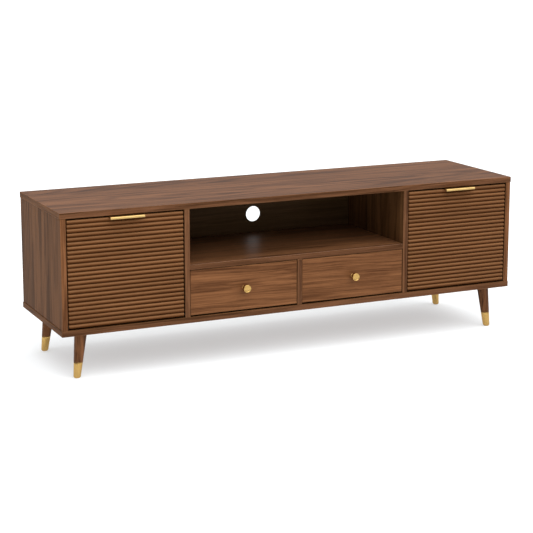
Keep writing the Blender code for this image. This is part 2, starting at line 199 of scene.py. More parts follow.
def wood_group():
    """Wood figure with its grain along the vector's X: bands, growth lines, streaks, pores."""
    tree, given, out = new_group(
        "wood_figure",
        [("Vector", "NodeSocketVector", None), ("Light", "NodeSocketColor", None),
         ("Dark", "NodeSocketColor", None), ("Bands", "NodeSocketFloat", 0.5),
         ("Lines", "NodeSocketFloat", 0.3), ("Streaks", "NodeSocketFloat", 0.4),
         ("Pores", "NodeSocketFloat", 0.5)],
        [("Colour", "NodeSocketColor"), ("Roughness", "NodeSocketFloat"),
         ("Height", "NodeSocketFloat")])
    vector = given.outputs["Vector"]
    drift = noise(tree, scaled(tree, vector, DRIFT_SCALE), detail=2.0)
    shift = add_node(tree, "ShaderNodeVectorMath", operation="MULTIPLY_ADD")
    tree.links.new(drift.outputs["Color"], shift.inputs[0])
    shift.inputs[1].default_value = DRIFT_REACH
    tree.links.new(vector, shift.inputs[2])
    wavy = shift.outputs[0]

    broad = noise(tree, scaled(tree, wavy, BROAD_SCALE), detail=2.0).outputs["Fac"]
    narrow = noise(tree, scaled(tree, wavy, NARROW_SCALE), detail=3.0).outputs["Fac"]
    bands = math_node(tree, "MULTIPLY", math_node(tree, "ADD", broad, narrow), 0.5)
    swell = noise(tree, scaled(tree, wavy, SWELL_SCALE), detail=1.0).outputs["Fac"]
    rings = math_node(tree, "SINE", math_node(tree, "MULTIPLY", swell, RING_TURNS))
    rings = ramp(tree, rings, -0.2, 1.0)
    streaks = noise(tree, scaled(tree, wavy, STREAK_SCALE), detail=4.0,
                    roughness=0.65).outputs["Fac"]
    specks = noise(tree, scaled(tree, vector, PORE_SCALE), detail=2.0)
    pores = ramp(tree, specks.outputs["Fac"], 0.60, 0.74)

    def swing(value, strength, centre=0.5):
        around = math_node(tree, "SUBTRACT", value, centre)
        return math_node(tree, "MULTIPLY", around, given.outputs[strength])

    tone = math_node(tree, "ADD", swing(bands, "Bands"), swing(streaks, "Streaks"))
    tone = math_node(tree, "SUBTRACT", tone, swing(rings, "Lines", 0.35))
    tone = math_node(tree, "ADD", tone, 0.5, clamp=True)
    colour = colour_mix(tree, tone, given.outputs["Dark"], given.outputs["Light"])
    pore_share = math_node(tree, "MULTIPLY", pores, given.outputs["Pores"])
    pore_tone = colour_mix(tree, 0.72, given.outputs["Dark"], PORE_DARK)
    tree.links.new(colour_mix(tree, pore_share, colour, pore_tone), out.inputs["Colour"])

    rough = math_node(tree, "MULTIPLY_ADD", streaks, 0.14)
    rough.node.inputs[2].default_value = WOOD_ROUGHNESS
    rough = math_node(tree, "ADD", rough, math_node(tree, "MULTIPLY", pores, 0.12))
    tree.links.new(rough, out.inputs["Roughness"])
    height = math_node(tree, "SUBTRACT", math_node(tree, "MULTIPLY", streaks, 0.5), pore_share)
    tree.links.new(height, out.inputs["Height"])
    return tree


def metal_group():
    """Metal surface: fine brushing lines and soft clouds of tarnish."""
    tree, given, out = new_group(
        "metal_surface",
        [("Vector", "NodeSocketVector", None), ("Colour", "NodeSocketColor", None),
         ("Tarnish", "NodeSocketColor", None), ("Roughness", "NodeSocketFloat", 0.3)],
        [("Colour", "NodeSocketColor"), ("Roughness", "NodeSocketFloat"),
         ("Height", "NodeSocketFloat")])
    brush = noise(tree, given.outputs["Vector"], detail=4.0, roughness=0.7).outputs["Fac"]
    wide = scaled(tree, given.outputs["Vector"], (0.04, 0.04, 0.04))
    cloud = noise(tree, wide, detail=3.0).outputs["Fac"]
    share = math_node(tree, "MULTIPLY", ramp(tree, cloud, 0.45, 0.75), 0.30)
    lines = math_node(tree, "MULTIPLY", ramp(tree, brush, 0.38, 0.66), 0.45)
    share = math_node(tree, "ADD", share, lines, clamp=True)
    colour = colour_mix(tree, share, given.outputs["Colour"], given.outputs["Tarnish"])
    tree.links.new(colour, out.inputs["Colour"])
    swing = math_node(tree, "MULTIPLY", math_node(tree, "SUBTRACT", brush, 0.5), 0.16)
    rough = math_node(tree, "ADD", given.outputs["Roughness"], swing)
    rough = math_node(tree, "ADD", rough, math_node(tree, "MULTIPLY", share, 0.12))
    tree.links.new(rough, out.inputs["Roughness"])
    tree.links.new(brush, out.inputs["Height"])
    return tree


def wear_and_highlight_group():
    """How near a point of a board lies to one of its edges, broken up by noise: where edges get
    wear and a painted highlight.
    """
    tree, given, out = new_group(
        "edge_wear_and_highlight",
        [("Vector", "NodeSocketVector", None), ("Low", "NodeSocketVector", None),
         ("High", "NodeSocketVector", None), ("Reach", "NodeSocketFloat", 0.002)],
        [("Mask", "NodeSocketFloat")])
    above = add_node(tree, "ShaderNodeVectorMath", operation="SUBTRACT")
    tree.links.new(given.outputs["Vector"], above.inputs[0])
    tree.links.new(given.outputs["Low"], above.inputs[1])
    below = add_node(tree, "ShaderNodeVectorMath", operation="SUBTRACT")
    tree.links.new(given.outputs["High"], below.inputs[0])
    tree.links.new(given.outputs["Vector"], below.inputs[1])
    nearest = add_node(tree, "ShaderNodeVectorMath", operation="MINIMUM")
    tree.links.new(above.outputs[0], nearest.inputs[0])
    tree.links.new(below.outputs[0], nearest.inputs[1])
    split = add_node(tree, "ShaderNodeSeparateXYZ")
    tree.links.new(nearest.outputs[0], split.inputs[0])
    x, y, z = split.outputs
    # an edge is where two of the three distances are small: the middle one tells
    lesser = math_node(tree, "MINIMUM", x, y)
    greater = math_node(tree, "MAXIMUM", x, y)
    middle = math_node(tree, "MAXIMUM", lesser, math_node(tree, "MINIMUM", greater, z))
    rough = noise(tree, scaled(tree, given.outputs["Vector"], (45.0, 45.0, 45.0)), detail=4.0)
    reach = math_node(tree, "MULTIPLY", given.outputs["Reach"], rough.outputs["Fac"])
    share = math_node(tree, "DIVIDE", middle, reach, clamp=True)
    tree.links.new(math_node(tree, "SUBTRACT", 1.0, share), out.inputs["Mask"])
    return tree


WOOD = wood_group()
METAL = metal_group()
WEAR_AND_HIGHLIGHT = wear_and_highlight_group()
# painted shade on the ribs: each rib's lower half, and a little its top edge, is darkened as if
# light fell from above
PAINTED_RIB_SHADE = "groove"           # vertex value: 0 on a rib's lit crest, 1 deep between two ribs
PAINTED_RIB_SHADE_TINT = (0.34, 0.23, 0.13)
# board edges are lightened: partly wear, partly a painted highlight on the rounded edges
WEAR_AND_HIGHLIGHT_SHARE = 0.55
WEAR_AND_HIGHLIGHT_LIGHTENING = 1.7
TURN_TO_GRAIN = {"X": (0.0, 0.0, 0.0), "Y": (0.0, 0.0, math.radians(90)),
                 "Z": (0.0, math.radians(90), 0.0)}


def new_material(name):
    material = bpy.data.materials.new(name)
    material.use_nodes = True
    tree = material.node_tree
    return material, tree, tree.nodes["Principled BSDF"]


def object_vector(tree, place=(0, 0, 0), turn=(0, 0, 0), scale=(1, 1, 1)):
    coordinates = add_node(tree, "ShaderNodeTexCoord")
    mapping = add_node(tree, "ShaderNodeMapping")
    tree.links.new(coordinates.outputs["Object"], mapping.inputs["Vector"])
    mapping.inputs["Location"].default_value = place
    mapping.inputs["Rotation"].default_value = turn
    mapping.inputs["Scale"].default_value = scale
    return mapping.outputs["Vector"]


def add_bump(tree, shader, height, strength, distance):
    bump = add_node(tree, "ShaderNodeBump")
    bump.inputs["Strength"].default_value = strength
    bump.inputs["Distance"].default_value = distance
    tree.links.new(height, bump.inputs["Height"])
    tree.links.new(bump.outputs["Normal"], shader.inputs["Normal"])


def wood(name, grain, tones, bands=2.4, lines=0.30, streaks=2.1, pores=0.5, slope=0.0,
         grooves=False, wear_and_highlight_box=None):
    """Lacquered wood; each board has its own place in the figure, from its name."""
    light, dark, sheen = tones
    material, tree, shader = new_material(name)
    seed = sum((index + 3) * ord(letter) for index, letter in enumerate(name))
    place = (seed * 0.37 % 7.0, seed * 0.59 % 5.0, seed * 0.83 % 3.0)
    group = add_node(tree, "ShaderNodeGroup", node_tree=WOOD)
    turn = Vector(TURN_TO_GRAIN[grain]) + Vector((0.0, math.radians(slope), 0.0))
    vector = object_vector(tree, place=place, turn=turn)
    tree.links.new(vector, group.inputs["Vector"])
    group.inputs["Light"].default_value = (*light, 1.0)
    group.inputs["Dark"].default_value = (*dark, 1.0)
    group.inputs["Bands"].default_value = bands
    group.inputs["Lines"].default_value = lines
    group.inputs["Streaks"].default_value = streaks
    group.inputs["Pores"].default_value = pores
    colour = group.outputs["Colour"]
    # painted shade: the ribs' lower halves are multiplied darker
    if grooves:
        shade = add_node(tree, "ShaderNodeAttribute", attribute_name=PAINTED_RIB_SHADE)
        colour = colour_mix(tree, shade.outputs["Fac"], colour, PAINTED_RIB_SHADE_TINT, "MULTIPLY")
    # lighter edges: partly wear, partly a painted highlight where the rounded edges would catch
    # the light
    if wear_and_highlight_box:
        wear_and_highlight_mask = add_node(tree, "ShaderNodeGroup", node_tree=WEAR_AND_HIGHLIGHT)
        tree.links.new(object_vector(tree), wear_and_highlight_mask.inputs["Vector"])
        wear_and_highlight_mask.inputs["Low"].default_value = wear_and_highlight_box[0]
        wear_and_highlight_mask.inputs["High"].default_value = wear_and_highlight_box[1]
        share = math_node(tree, "MULTIPLY", wear_and_highlight_mask.outputs["Mask"], WEAR_AND_HIGHLIGHT_SHARE)
        worn_and_lit = tuple(min(1.0, WEAR_AND_HIGHLIGHT_LIGHTENING * channel) for channel in light)
        colour = colour_mix(tree, share, colour, worn_and_lit)
    tree.links.new(colour, shader.inputs["Base Color"])
    tree.links.new(group.outputs["Roughness"], shader.inputs["Roughness"])
    shader.inputs["Specular IOR Level"].default_value = sheen
    add_bump(tree, shader, group.outputs["Height"], 0.25, 0.0003)
    return material


def metal(name, colour, tarnish, roughness, brushing, strength=0.12):
    """Bare metal; brushing is how finely its marks repeat per metre along X, Y and Z."""
    material, tree, shader = new_material(name)
    group = add_node(tree, "ShaderNodeGroup", node_tree=METAL)
    tree.links.new(object_vector(tree, scale=brushing), group.inputs["Vector"])
    group.inputs["Colour"].default_value = (*colour, 1.0)
    group.inputs["Tarnish"].default_value = (*tarnish, 1.0)
    group.inputs["Roughness"].default_value = roughness
    tree.links.new(group.outputs["Colour"], shader.inputs["Base Color"])
    tree.links.new(group.outputs["Roughness"], shader.inputs["Roughness"])
    shader.inputs["Metallic"].default_value = 1.0
    add_bump(tree, shader, group.outputs["Height"], strength, 0.00005)
    return material


# Each wood: its light tone, its dark tone and how much its lacquer reflects
WALNUT_TOP = ((0.207, 0.089, 0.038), (0.048, 0.018, 0.007), 0.15)
WALNUT_SIDE = ((0.165, 0.073, 0.031), (0.058, 0.025, 0.010), 0.006)
WALNUT_SHELF = ((0.255, 0.110, 0.046), (0.075, 0.030, 0.011), 0.55)
WALNUT_INSIDE = ((0.148, 0.067, 0.026), (0.049, 0.021, 0.007), 0.04)
WALNUT_BAND = ((0.152, 0.066, 0.031), (0.054, 0.022, 0.009), 0.02)
WALNUT_STILE = ((0.172, 0.077, 0.036), (0.054, 0.022, 0.010), 0.02)
WALNUT_FRONT = ((0.212, 0.088, 0.035), (0.060, 0.021, 0.007), 0.05)
WALNUT_RIB = ((0.246, 0.116, 0.049), (0.166, 0.076, 0.031), 0.03)
# painted shade: the door slab's front, seen only in the recesses between the ribs, is made much
# darker
WALNUT_GROOVE_PAINTED_SHADE = ((0.075, 0.025, 0.008), (0.030, 0.010, 0.003), 0.0)
WALNUT_LEG = ((0.192, 0.079, 0.032), (0.050, 0.019, 0.007), 0.06)
HARDBOARD = ((0.101, 0.056, 0.026), (0.040, 0.021, 0.008), 0.02)
LINING = ((0.50, 0.36, 0.22), (0.36, 0.24, 0.13), 0.3)
BIRCH = ((0.60, 0.44, 0.28), (0.38, 0.25, 0.13), 0.3)

# Each metal: its clean tone and its tarnished tone
TURNED_BRASS = ((0.56, 0.355, 0.118), (0.21, 0.112, 0.025))
SHEET_BRASS = ((0.62, 0.420, 0.165), (0.42, 0.265, 0.090))
STEEL = ((0.60, 0.61, 0.62), (0.36, 0.36, 0.37))
brass_turned = metal("brass_turned", *TURNED_BRASS, 0.20, (650.0, 650.0, 22.0), strength=0.3)
brass_knob = metal("brass_knob", *TURNED_BRASS, 0.20, (1300.0, 60.0, 1300.0), strength=0.3)
brass_brushed = metal("brass_brushed", *SHEET_BRASS, 0.26, (40.0, 1800.0, 1800.0))
steel_zinc = metal("steel_zinc", *STEEL, 0.30, (500.0, 500.0, 500.0))
steel_rolled = metal("steel_rolled", *STEEL, 0.34, (1500.0, 30.0, 1500.0))
steel_blackened = metal("steel_blackened", (0.03, 0.024, 0.018), (0.015, 0.012, 0.009), 0.6,
                        (600.0, 600.0, 600.0), strength=0.06)
steel_polished = metal("steel_polished", (0.70, 0.71, 0.72), (0.5, 0.5, 0.5), 0.14,
                       (900.0, 900.0, 900.0), strength=0.04)


def sheet_material():
    """Dark hardboard printed with a faint wood grain."""
    return wood("printed_hardboard", "X", HARDBOARD, bands=1.6, lines=0.10, streaks=1.2,
                pores=0.25)


def plastic_material():
    material, tree, shader = new_material("moulded_plastic")
    vector = object_vector(tree, scale=(900.0, 900.0, 900.0))
    grain = noise(tree, vector, detail=2.0).outputs["Fac"]
    cloud = noise(tree, scaled(tree, vector, (0.03, 0.03, 0.03))).outputs["Fac"]
    colour = colour_mix(tree, cloud, (0.020, 0.020, 0.022), (0.045, 0.043, 0.042))
    tree.links.new(colour, shader.inputs["Base Color"])
    rough = math_node(tree, "MULTIPLY_ADD", grain, 0.2)
    rough.node.inputs[2].default_value = 0.38
    tree.links.new(rough, shader.inputs["Roughness"])
    add_bump(tree, shader, grain, 0.3, 0.0001)
    return material


# ---------------------------------------------------------------- shapes

def box_bmesh(low, high):
    low, high = Vector(low), Vector(high)
    bm = bmesh.new()
    bmesh.ops.create_cube(bm, size=1.0)
    bmesh.ops.scale(bm, vec=high - low, verts=bm.verts)
    bmesh.ops.translate(bm, vec=(low + high) / 2, verts=bm.verts)
    return bm


def faced_box(name, low, high, material, faced=()):
    """A box object; faced pairs each extra material with the directions that show it."""
    bm = box_bmesh(low, high)
    bm.normal_update()
    for index, (_, directions) in enumerate(faced, start=1):
        for polygon in bm.faces:
            if any(polygon.normal.dot(Vector(direction)) > 0.9 for direction in directions):
                polygon.material_index = index
    return mesh_object(name, bm, material, *(extra for extra, _ in faced))


def board(node, material, faced=(), edge=0.0010):
    """A node's board with rounded edges, faced as in faced_box."""
    obj = faced_box(node + "_board", *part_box(node), material, faced)
    round_edges(obj, edge)
    return stand_for(obj, node)


def lathe(name, profile, material, steps=72):
    """A solid turned about Z from (radius, height) points, top to bottom."""
    bm = bmesh.new()
    rings = []
    for radius, height in profile:
        if radius < 1e-7:
            rings.append([bm.verts.new((0, 0, height))])
            continue
        ring = []
        for step in range(steps):
            angle = math.tau * step / steps
            ring.append(bm.verts.new((radius * math.cos(angle), radius * math.sin(angle), height)))
        rings.append(ring)
    for upper, lower in zip(rings, rings[1:]):
        for step in range(steps):
            after = (step + 1) % steps
            if len(upper) == 1:
                corners = (upper[0], lower[step], lower[after])
            elif len(lower) == 1:
                corners = (upper[step], lower[0], upper[after])
            else:
                corners = (upper[step], lower[step], lower[after], upper[after])
            bm.faces.new(corners)
    bmesh.ops.recalc_face_normals(bm, faces=bm.faces)
    obj = mesh_object(name, bm, material)
    obj.data.shade_smooth()
    obj.data.set_sharp_from_angle(angle=math.radians(40))
    return obj


def arc(centre, radius, start, end, steps=5):
    """Points along a circular arc, angles in degrees."""
    points = []
    for step in range(steps + 1):
        angle = math.radians(start + (end - start) * step / steps)
        points.append((centre[0] + radius * math.cos(angle), centre[1] + radius * math.sin(angle)))
    return points


def swept(name, outline, low_x, high_x, material):
    """A closed (Y, Z) outline swept straight along X."""
    bm = bmesh.new()
    ends = []
    for x in (low_x, high_x):
        ends.append([bm.verts.new((x, y, z)) for y, z in outline])
    count = len(outline)
    for index in range(count):
        after = (index + 1) % count
        bm.faces.new((ends[0][index], ends[1][index], ends[1][after], ends[0][after]))
    bm.faces.new(ends[0])
    bm.faces.new(ends[1])
    bmesh.ops.recalc_face_normals(bm, faces=bm.faces)
    obj = mesh_object(name, bm, material)
    obj.data.shade_smooth()
    obj.data.set_sharp_from_angle(angle=math.radians(40))
    return obj


def copying_tree(name, inputs):
    """A Geometry Nodes tree with its in and out nodes and sockets; inputs are (name, type)."""
    tree = bpy.data.node_groups.new(name, "GeometryNodeTree")
    face = tree.interface
    face.new_socket(name="Geometry", in_out="INPUT", socket_type="NodeSocketGeometry")
    for label, kind in (*inputs, ("Material", "NodeSocketMaterial")):
        face.new_socket(name=label, in_out="INPUT", socket_type=kind)
    face.new_socket(name="Geometry", in_out="OUTPUT", socket_type="NodeSocketGeometry")
    return tree, tree.nodes.new("NodeGroupInput"), tree.nodes.new("NodeGroupOutput")


def copy_to_points(tree, given, out, points, piece):
    """Puts the piece at every point, makes the copies real and sets their material."""
    copies = tree.nodes.new("GeometryNodeInstanceOnPoints")
    real = tree.nodes.new("GeometryNodeRealizeInstances")
    paint = tree.nodes.new("GeometryNodeSetMaterial")
    tree.links.new(points, copies.inputs["Points"])
    tree.links.new(piece, copies.inputs["Instance"])
    tree.links.new(copies.outputs["Instances"], real.inputs["Geometry"])
    tree.links.new(real.outputs["Geometry"], paint.inputs["Geometry"])
    tree.links.new(given.outputs["Material"], paint.inputs["Material"])
    tree.links.new(paint.outputs["Geometry"], out.inputs["Geometry"])


def repeat_tree():
    """Copies the given piece Count times, Step apart."""
    tree, given, out = copying_tree(
        "repeat_piece", (("Count", "NodeSocketInt"), ("Step", "NodeSocketVector")))
    line = add_node(tree, "GeometryNodeMeshLine", mode="OFFSET")
    tree.links.new(given.outputs["Count"], line.inputs["Count"])
    tree.links.new(given.outputs["Step"], line.inputs["Offset"])
    copy_to_points(tree, given, out, line.outputs["Mesh"], given.outputs["Geometry"])
    return tree


def scatter_tree():
    """Puts another object's shape at each point of the given mesh."""
    tree, given, out = copying_tree("piece_on_points", (("Piece", "NodeSocketObject"),))
    info = tree.nodes.new("GeometryNodeObjectInfo")
    tree.links.new(given.outputs["Piece"], info.inputs["Object"])
    copy_to_points(tree, given, out, given.outputs["Geometry"], info.outputs["Geometry"])
    return tree


REPEAT = repeat_tree()
SCATTER = scatter_tree()


def run_tree(obj, tree, values):
    """Runs a Geometry Nodes tree on an object and leaves a plain mesh."""
    modifier = obj.modifiers.new(tree.name, "NODES")
    modifier.node_group = tree
    for item in tree.interface.items_tree:
        if item.in_out == "INPUT" and item.name in values:
            modifier[item.identifier] = values[item.name]
    obj.update_tag()
    return plain_copy(obj)


def repeated(obj, count, step, material):
    return run_tree(obj, REPEAT, {"Count": count, "Step": step, "Material": material})


def screw_head(radius, height, axis):
    """A domed screw head with a round recess, standing along an axis from the origin."""
    profile = [(0, height * 0.55), (radius * 0.28, height * 0.55), (radius * 0.34, height)]
    profile += [(radius * math.cos(angle), height * math.sin(angle))
                for angle in (math.radians(62), math.radians(38), math.radians(15), 0.0)]
    head = lathe("screw_head_pattern", profile + [(radius, 0.0), (0, 0.0)], steel_zinc, steps=20)
    turn = Vector((0, 0, 1)).rotation_difference(Vector(axis)).to_matrix().to_4x4()
    head.data.transform(turn)
    return head


def screws(name, places, axis, node, material, radius=0.0032, height=0.0010):
    """Screw heads at the given places, all facing along one axis."""
    pattern = screw_head(radius, height, axis)
    mesh = bpy.data.meshes.new(name)
    mesh.from_pydata([tuple(place) for place in places], [], [])
    obj = link_object(name, mesh)
    run_tree(obj, SCATTER, {"Piece": pattern, "Material": material})
    bpy.data.objects.remove(pattern, do_unlink=True)
    obj.data.shade_smooth()
    obj.data.set_sharp_from_angle(angle=math.radians(40))
    return go_with(obj, node)


def refined(node, material, edge=0.0003):
    """A packed metal or plastic part, welded, with smooth faces and softened edges."""
    mesh = frame["nodes"][node].data.copy()
    bm = bmesh.new()
    bm.from_mesh(mesh)
    bmesh.ops.remove_doubles(bm, verts=bm.verts, dist=1e-6)
    bmesh.ops.dissolve_limit(bm, angle_limit=math.radians(1), verts=bm.verts, edges=bm.edges)
    obj = mesh_object(node + "_part", bm, material)
    obj.data.shade_smooth()
    if edge:
        round_edges(obj, edge, segments=2, angle=40)
    else:
        obj.data.set_sharp_from_angle(angle=math.radians(40))
    return stand_for(obj, node)


# ---------------------------------------------------------------- carcass

def build_carcass():
    """Boards in their veneers, each with its own tone on its edges and its inner faces."""
    # node: (grain, outer tones, edge tones, sides banded along, ends, inner sides, rounding)
    boards = {
        "top_panel": ("X", WALNUT_TOP, WALNUT_BAND, (AHEAD, BEHIND), (LEFT, RIGHT),
                      (DOWN,), 0.0014),
        "bottom_panel": ("X", WALNUT_TOP, WALNUT_BAND, (AHEAD, BEHIND), (LEFT, RIGHT),
                         (UP,), 0.0014),
        "media_shelf": ("X", WALNUT_SHELF, WALNUT_BAND, (AHEAD,), (), (DOWN,), 0.0010),
        "drawer_divider": ("Z", WALNUT_INSIDE, WALNUT_STILE, (AHEAD,), (), (), 0.0010),
        "side_panel_left": ("Z", WALNUT_SIDE, WALNUT_FRONT, (AHEAD, BEHIND), (), (RIGHT,),
                            0.0010),
        "side_panel_right": ("Z", WALNUT_SIDE, WALNUT_FRONT, (AHEAD, BEHIND), (), (LEFT,),
                             0.0010),
        "divider_left": ("Z", WALNUT_INSIDE, WALNUT_STILE, (AHEAD,), (), (), 0.0010),
        "divider_right": ("Z", WALNUT_INSIDE, WALNUT_STILE, (AHEAD,), (), (), 0.0010),
    }
    for node, (grain, outer, edge, banded, ends, inner, rounding) in boards.items():
        box = [tuple(corner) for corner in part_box(node)]
        face = wood("walnut_" + node, grain, outer, wear_and_highlight_box=box)
        others = (("band_", grain, edge, banded), ("end_band_", "Y", WALNUT_SIDE, ends),
                  ("inside_", grain, WALNUT_INSIDE, inner))
        faced = [(wood(prefix + node, run, tones, wear_and_highlight_box=box), directions)
                 for prefix, run, tones, directions in others if directions]
        board(node, face, faced, rounding)


CABLE_HOLE_R = 0.025
NAIL_INSET = 0.008
NAIL_GAPS_ALONG = 15
NAIL_GAPS_UP = 4


def build_back_panel():
    """A flat sheet with a round cable hole, cut as one filled outline, and its nails."""
    low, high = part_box("back_panel")
    hole = next(o for o in RECORD["physics"]["openings"] if o["name"] == "cable_hole")["box_m"]
    hole_x = (hole[0][0] + hole[1][0]) / 2
    hole_z = (hole[0][2] + hole[1][2]) / 2
    curve = bpy.data.curves.new("back_sheet", "CURVE")
    curve.dimensions = "2D"
    curve.fill_mode = "BOTH"
    curve.extrude = (high.y - low.y) / 2
    corners = [(low.x, low.z), (high.x, low.z), (high.x, high.z), (low.x, high.z)]
    # the arc stops one step short of the full turn, because the outline closes itself
    circle = arc((hole_x, hole_z), CABLE_HOLE_R, 0, 356.25, steps=95)
    for points in (corners, circle):
        spline = curve.splines.new("POLY")
        spline.points.add(len(points) - 1)
        for point, (x, z) in zip(spline.points, points):
            point.co = (x, z, 0.0, 1.0)
        spline.use_cyclic_u = True
    obj = plain_from_curve(curve, "back_panel_sheet", sheet_material())
    middle = Matrix.Translation((0, (low.y + high.y) / 2, 0))
    obj.data.transform(middle @ Matrix.Rotation(math.radians(90), 4, "X"))
    round_edges(obj, 0.0003, segments=2, angle=60)
    stand_for(obj, "back_panel")
    left, right = low.x + NAIL_INSET, high.x - NAIL_INSET
    foot, head = low.z + NAIL_INSET, high.z - NAIL_INSET
    places = []
    for step in range(NAIL_GAPS_ALONG + 1):
        x = left + (high.x - low.x - 2 * NAIL_INSET) * step / NAIL_GAPS_ALONG
        places += [(x, high.y, foot), (x, high.y, head)]
    for step in range(1, NAIL_GAPS_UP):
        z = foot + (high.z - low.z - 2 * NAIL_INSET) * step / NAIL_GAPS_UP
        places += [(left, high.y, z), (right, high.y, z)]
    screws("back_panel_nails", places, BEHIND, "back_panel", steel_zinc, 0.0022, 0.0005)


def plain_from_curve(curve, name, material):
    """A filled curve turned into a welded mesh object."""
    blank = link_object(name + "_outline", curve)
    bpy.context.view_layer.update()
    graph = bpy.context.evaluated_depsgraph_get()
    mesh = bpy.data.meshes.new_from_object(blank.evaluated_get(graph))
    bpy.data.objects.remove(blank, do_unlink=True)
    bm = bmesh.new()
    bm.from_mesh(mesh)
    bmesh.ops.remove_doubles(bm, verts=bm.verts, dist=1e-6)
    bmesh.ops.dissolve_limit(bm, angle_limit=math.radians(1), verts=bm.verts, edges=bm.edges)
    return mesh_object(name, bm, material)


# ---------------------------------------------------------------- legs

LEG_TOP_R = 0.0188
LEG_TOP_EASE = 0.0008
CUP_RIM_R = 0.01365
CUP_RIM_EASE = 0.0010
CUP_TIP_R = 0.0107
CUP_TIP_ROUND = 0.0060
SEAM_GAP = 0.0003           # between the wood and the cup, on either side of the seam


def leg_profile(top_z, seam_z):
    """Turned leg above its brass cup: eased top edge, straight taper, closed ends."""
    points = [(0, top_z), (LEG_TOP_R - 0.0006, top_z), (LEG_TOP_R, top_z - LEG_TOP_EASE)]
    steps = 10
    for step in range(1, steps + 1):
        share = step / steps
        radius = LEG_TOP_R + (CUP_RIM_R - LEG_TOP_R) * share
        height = top_z - LEG_TOP_EASE + (seam_z + LEG_TOP_EASE - top_z) * share
        points.append((radius, height))
    return points + [(CUP_RIM_R - 0.0008, seam_z + SEAM_GAP), (0, seam_z + SEAM_GAP)]


def cup_profile(seam_z):
    """Brass cup on the leg's end: softened rim, straight taper, well rounded tip."""
    tip_r = CUP_TIP_R + (CUP_RIM_R - CUP_TIP_R) * CUP_TIP_ROUND / seam_z
    points = [(0, seam_z - SEAM_GAP), (CUP_RIM_R - CUP_RIM_EASE, seam_z - SEAM_GAP),
              (CUP_RIM_R - 0.0003, seam_z - 0.0005), (CUP_RIM_R, seam_z - CUP_RIM_EASE)]
    steps = 8
    for step in range(1, steps):
        share = step / steps
        radius = CUP_RIM_R + (tip_r - CUP_RIM_R) * share
        height = seam_z - CUP_RIM_EASE + (CUP_TIP_ROUND + CUP_RIM_EASE - seam_z) * share
        points.append((radius, height))
    points += arc((tip_r - CUP_TIP_ROUND, CUP_TIP_ROUND), CUP_TIP_ROUND, 0, -90, steps=12)
    return points + [(0, 0)]


def build_legs():
    """Each leg and cup is turned upright, then slanted so that its ends stay level."""
    feet = {mount["name"]: mount["pos_m"] for mount in RECORD["mounts"]}
    for side, sign in SIDES:
        for end in ("front", "rear"):
            suffix = f"{end}_{side}"
            leg_low, leg_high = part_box("leg_" + suffix)
            _, cup_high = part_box("ferrule_" + suffix)
            foot = feet["foot_" + suffix]
            top_x = leg_low.x + LEG_TOP_R if sign > 0 else leg_high.x - LEG_TOP_R
            top_y = leg_high.y - LEG_TOP_R if end == "front" else leg_low.y + LEG_TOP_R
            turned_leg = wood("walnut_leg_" + suffix, "Z", WALNUT_LEG, lines=0.4)
            leg = lathe(f"leg_{suffix}_turned", leg_profile(leg_high.z, cup_high.z), turned_leg)
            cup = lathe(f"ferrule_{suffix}_turned", cup_profile(cup_high.z), brass_turned)
            slant = Matrix.Identity(4)
            slant[0][2] = (top_x - foot[0]) / leg_high.z
            slant[1][2] = (top_y - foot[1]) / leg_high.z
            place = Matrix.Translation((foot[0], foot[1], 0.0))
            for piece, node in ((leg, "leg_" + suffix), (cup, "ferrule_" + suffix)):
                piece.data.transform(place @ slant)
                stand_for(piece, node)


# ---------------------------------------------------------------- doors

RIB_COUNT = 25
RIB_WIDTH = 0.0112
RIB_DEPTH = 0.0060
RIB_STEPS = 16
RIB_END_EASE = 0.0009


def rib_mesh(low_x, high_x, floor_y, middle_z):
    """One half-round rib with eased ends; its painted shade, on its lower half and top edge, is a
    vertex value.
    """
    bm = bmesh.new()
    shade = bm.verts.layers.float.new(PAINTED_RIB_SHADE)
    rings = []
    # (place along the rib, share of the full height): the ends are eased
    sections = ((low_x, 0.80), (low_x + RIB_END_EASE * 0.4, 0.95), (low_x + RIB_END_EASE, 1.0),
                (high_x - RIB_END_EASE, 1.0), (high_x - RIB_END_EASE * 0.4, 0.95),
                (high_x, 0.80))
    for x, swell in sections:
        ring = []
        for step in range(RIB_STEPS + 1):
            share = step / RIB_STEPS
            angle = math.pi * share
            y = floor_y - math.sin(angle) * RIB_DEPTH * swell
            z = middle_z - math.cos(angle) * RIB_WIDTH / 2
            vert = bm.verts.new((x, y, z))
            # painted shade: darkest on the lower half, which faces away from the light above, and
            # a little on the top edge
            below = min(1.0, max(0.0, (0.72 - share) / 0.36))
            above = max(0.0, (share - 0.86) / 0.14)
            vert[shade] = min(1.0, below ** 0.9 + 0.6 * above)
            ring.append(vert)
        rings.append(ring)
    for one, two in zip(rings, rings[1:]):
        for step in range(RIB_STEPS):
            bm.faces.new((one[step], two[step], two[step + 1], one[step + 1]))
        bm.faces.new((one[0], one[-1], two[-1], two[0]))
    bm.faces.new(rings[0])
    bm.faces.new(rings[-1])
    bmesh.ops.recalc_face_normals(bm, faces=bm.faces)
    return bm


